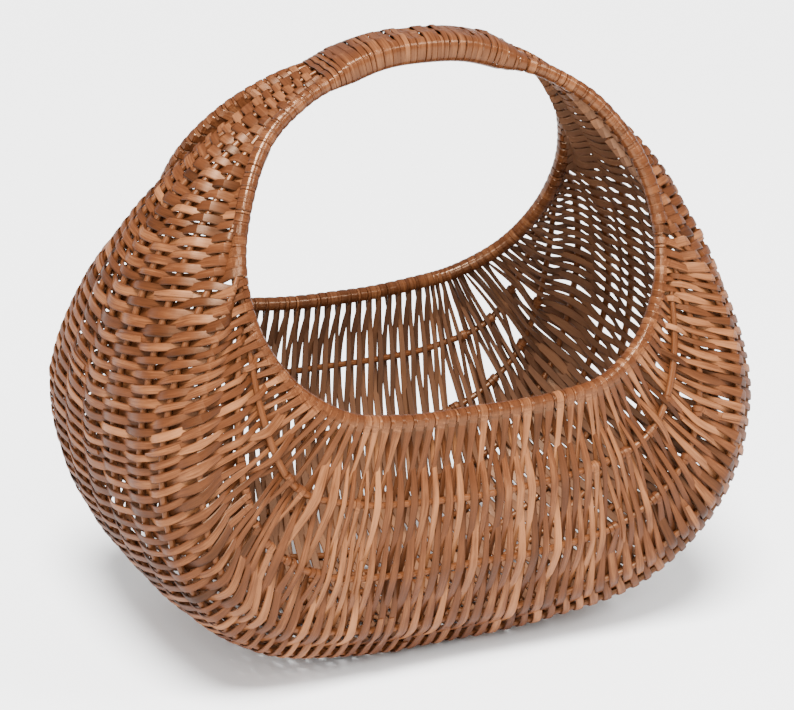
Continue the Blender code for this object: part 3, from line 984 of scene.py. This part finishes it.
def make_handle():
    """The skein wound round both hoops and the rib ends, woven over the ribs on top."""
    angles = np.arange(-HANDLE_END, HANDLE_END, 0.1)
    lengths = path_lengths(loop_points(0, angles))
    edges = [0.0]
    while edges[-1] < lengths[-1]:
        edges.append(edges[-1] + random.uniform(*HANDLE_WIDTHS))
    edges = np.array(edges) * lengths[-1] / edges[-1]
    mesh = Mesh()
    around = 2 * np.pi * np.arange(HANDLE_SIDES) / HANDLE_SIDES
    sideways = np.array([0.0, 1.0, 0.0])
    for turn, (low, high) in enumerate(zip(edges[:-1], edges[1:])):
        angle = float(np.interp((low + high) / 2, lengths, angles))
        hoop = loop_points(0, angle)
        way = loop_directions(0, angle)
        way = unit(np.array([way[0], 0.0, way[2]]))
        centre = np.array([hoop[0], 0.0, hoop[2]])
        out = np.array([-way[2], 0.0, way[0]])
        out *= np.sign(out[2])
        taper = min(max((HANDLE_END - abs(angle)) / HANDLE_TAPER_ANGLE, 0.0), 1.0)
        half_height = HANDLE_HALF_HEIGHT + HANDLE_SWELL * taper
        y = (-hoop[1] + HOOP_RADIUS + HANDLE_SIDE_WALL) * squared(np.sin(around))
        over = random.choice((-1.0, 0.0, 1.0))
        ripple = RIPPLE_HEIGHT * over * np.exp(-(((np.abs(y) - RIPPLE_PLACE) / RIPPLE_WIDTH) ** 2))
        z = half_height * squared(np.cos(around)) + HANDLE_RISE * taper
        z = z + np.where(np.cos(around) > TOP_LIMIT, ripple, 0.0)
        points = centre + out[None, :] * z[:, None] + sideways[None, :] * y[:, None]
        points = points + way[None, :] * (SKEIN_SWAY * np.sin(around + turn))[:, None]
        tangents = unit(np.roll(points, -1, axis=0) - np.roll(points, 1, axis=0))
        side = np.broadcast_to(way, points.shape)
        widths = np.full(HANDLE_SIDES, HANDLE_LAP * (high - low))
        rings = flat_rings(points, side, np.cross(tangents, side), widths, SKEIN_THICKNESS)
        tone = MIDDLE_TONE + HANDLE_TONE_SPREAD * random.standard_normal()
        mesh.add_tube(rings, path_lengths(points), STRIP_ACROSS, tone, closed=True)
    piece = mesh.make("handle_skein", SKEIN_WILLOW)
    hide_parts("handle_binding")


# Floor, light and camera

CAMERA_AZIMUTH = math.radians(-27.0)
CAMERA_ELEVATION = math.radians(21.5)
CAMERA_ROLL = math.radians(2.5)
CAMERA_DISTANCE = 2.1
CAMERA_TARGET = Vector((0.0, 0.0, 0.19))
CAMERA_REACH = 30.0
FOCAL_PIXELS = 3150.0
FRAME_WIDTH = 794.0
FRAME_HEIGHT = 710.0
CENTRE_X = 403.5
CENTRE_Y = 351.0
SENSOR = 36.0

FLOOR_SIZE = 16.0
FLOOR_WHITE = 0.90
FLOOR_ROUGHNESS = 0.7

# The top light's strength, spread and direction, and soft boxes with their place, size and power
TOP_LIGHT = (13.5, 22.0, (0.25, 0.38, -0.89))
SOFT_BOXES = (
    ("left_light", (-2.0, -1.6, 1.3), 0.8, 30.0),
    ("right_light", (1.15, -1.5, 1.95), 0.7, 40.0),
    ("front_light", (-0.9, -2.2, 1.6), 0.8, 40.0),
)
LIGHT_TARGET = Vector((0.0, 0.0, 0.2))
SURROUND_STRENGTH = 0.9


def make_camera():
    """The camera at the photograph's angle."""
    data = bpy.data.cameras.new("camera")
    camera = bpy.data.objects.new("camera", data)
    bpy.context.scene.collection.objects.link(camera)
    cos_e, sin_e = math.cos(CAMERA_ELEVATION), math.sin(CAMERA_ELEVATION)
    cos_a, sin_a = math.cos(CAMERA_AZIMUTH), math.sin(CAMERA_AZIMUTH)
    back = Vector((sin_a * cos_e, -cos_a * cos_e, sin_e))
    right = Vector((cos_a, sin_a, 0.0))
    up = back.cross(right)
    cos_r, sin_r = math.cos(CAMERA_ROLL), math.sin(CAMERA_ROLL)
    rolled_right = right * cos_r + up * sin_r
    rolled_up = up * cos_r - right * sin_r
    turn = Matrix((rolled_right, rolled_up, back)).transposed()
    camera.matrix_world = Matrix.Translation(CAMERA_TARGET + back * CAMERA_DISTANCE) @ turn.to_4x4()
    data.sensor_width = SENSOR
    data.lens = FOCAL_PIXELS / FRAME_WIDTH * SENSOR
    data.shift_x = (FRAME_WIDTH / 2 - CENTRE_X) / FRAME_WIDTH
    data.shift_y = (CENTRE_Y - FRAME_HEIGHT / 2) / FRAME_WIDTH
    data.clip_end = CAMERA_REACH
    bpy.context.scene.camera = camera


def make_floor():
    """A plain pale floor that the basket stands on."""
    low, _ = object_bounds()
    bpy.ops.mesh.primitive_plane_add(size=FLOOR_SIZE, location=(0.0, 0.0, low.z))
    floor = bpy.context.object
    floor.name = "floor"
    material = bpy.data.materials.new("floor_white")
    material.use_nodes = True
    shader = material.node_tree.nodes["Principled BSDF"]
    shader.inputs["Base Color"].default_value = (FLOOR_WHITE, FLOOR_WHITE, FLOOR_WHITE, 1.0)
    shader.inputs["Roughness"].default_value = FLOOR_ROUGHNESS
    floor.data.materials.append(material)


def make_light(name, kind, energy, direction):
    """A light that shines in a direction."""
    lamp = bpy.data.objects.new(name, bpy.data.lights.new(name, kind))
    lamp.data.energy = energy
    lamp.rotation_euler = Vector(direction).to_track_quat("-Z", "Y").to_euler()
    bpy.context.scene.collection.objects.link(lamp)
    return lamp


def make_lights():
    """Soft studio light from above, the left, the right and the front, in a white surround."""
    energy, spread, direction = TOP_LIGHT
    lamp = make_light("top_light", "SUN", energy, direction)
    lamp.data.angle = math.radians(spread)
    for name, place, size, power in SOFT_BOXES:
        lamp = make_light(name, "AREA", power, LIGHT_TARGET - Vector(place))
        lamp.location = place
        lamp.data.size = size
    world = bpy.data.worlds.new("studio")
    world.use_nodes = True
    surround = world.node_tree.nodes["Background"]
    surround.inputs["Color"].default_value = (1.0, 1.0, 1.0, 1.0)
    surround.inputs["Strength"].default_value = SURROUND_STRENGTH
    bpy.context.scene.world = world


make_camera()
make_rods()
make_weave()
make_handle()
make_floor()
make_lights()
